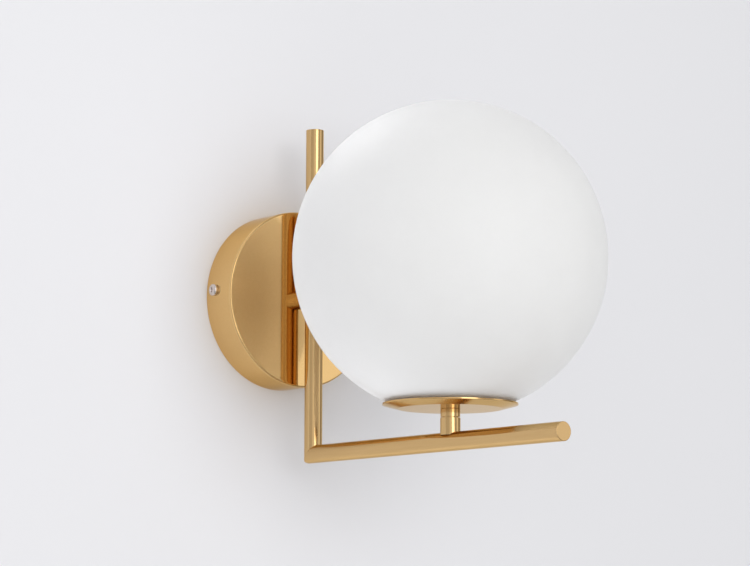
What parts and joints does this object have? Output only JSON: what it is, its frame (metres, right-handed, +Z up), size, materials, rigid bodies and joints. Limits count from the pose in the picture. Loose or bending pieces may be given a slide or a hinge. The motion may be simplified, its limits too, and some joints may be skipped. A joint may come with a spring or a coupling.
{
  "type": "wall light",
  "caption": "Globe wall light: a round wall cover carries a mitred tube arm, and an opal glass globe stands on a shallow dish above the arm.",
  "frame": {"origin": "middle of the round wall cover and of the two wall slots, on the wall plane", "axes": "+X to the right of someone facing the wall, +Y into the wall, +Z up"},
  "size_m": [0.2, 0.2835, 0.227],
  "materials": {
    "brass": "brushed and lacquered",
    "opal_glass": "satin opal white",
    "zinc_steel": "bright zinc plate",
    "nickel": "nickel plate",
    "raw_brass": "turned, bright",
    "white_plastic": "moulded, fine satin",
    "holder_plastic": "moulded, glossy white",
    "ceramic": "glazed white ceramic",
    "dome_plastic": "opal white",
    "black_glass": "black glass",
    "silicone": "clear-white silicone",
    "lead_brown": "silicone insulation",
    "lead_blue": "silicone insulation",
    "lead_green": "silicone insulation, green with yellow stripe"
  },
  "bodies": {
    "lamp_body": {"wall_bracket": "zinc_steel", "earth_screw": "raw_brass", "earth_tag": "nickel", "terminal_block": "white_plastic", "terminal_inserts": "raw_brass", "terminal_screws": "zinc_steel", "block_screw": "zinc_steel", "wall_cover": "brass", "arm_nipple": "zinc_steel", "arm_lock_washer": "zinc_steel", "arm_nut": "zinc_steel", "arm_hub": "brass", "vertical_tube": "brass", "horizontal_tube": "brass", "top_plug": "brass", "front_plug": "brass", "riser_stem": "brass", "riser_collar": "brass", "lamp_nipple": "zinc_steel", "fitter_dish": "brass", "globe_ring": "raw_brass", "lamp_lock_washer": "zinc_steel", "lamp_nut": "zinc_steel", "globe_gasket": "silicone", "holder_base": "holder_plastic", "holder_insert": "ceramic", "holder_terminals": "raw_brass", "holder_sleeve": "holder_plastic", "holder_screw_shell": "nickel", "holder_contact": "raw_brass", "live_lead": "lead_brown", "neutral_lead": "lead_blue", "earth_lead": "lead_green"},
    "globe": {"glass_globe": "opal_glass"},
    "bulb": {"bulb_tip": "nickel", "bulb_insulator": "black_glass", "bulb_cap": "nickel", "bulb_housing": "white_plastic", "bulb_dome": "dome_plastic"},
    "screw_left": {"cover_screw_left": "nickel"},
    "screw_right": {"cover_screw_right": "nickel"}
  },
  "joints": [
    {"name": "globe_lift", "type": "slide", "parent": "lamp_body", "child": "globe", "axis": [0, 0, 1], "range_m": [0, 0.125]},
    {"name": "bulb_pull", "type": "slide", "parent": "lamp_body", "child": "bulb", "axis": [0, 0, 1], "range_m": [0, 0.03]},
    {"name": "screw_left_out", "type": "slide", "parent": "lamp_body", "child": "screw_left", "axis": [-1, 0, 0], "range_m": [0, 0.008]},
    {"name": "screw_right_out", "type": "slide", "parent": "lamp_body", "child": "screw_right", "axis": [1, 0, 0], "range_m": [0, 0.008]}
  ]
}
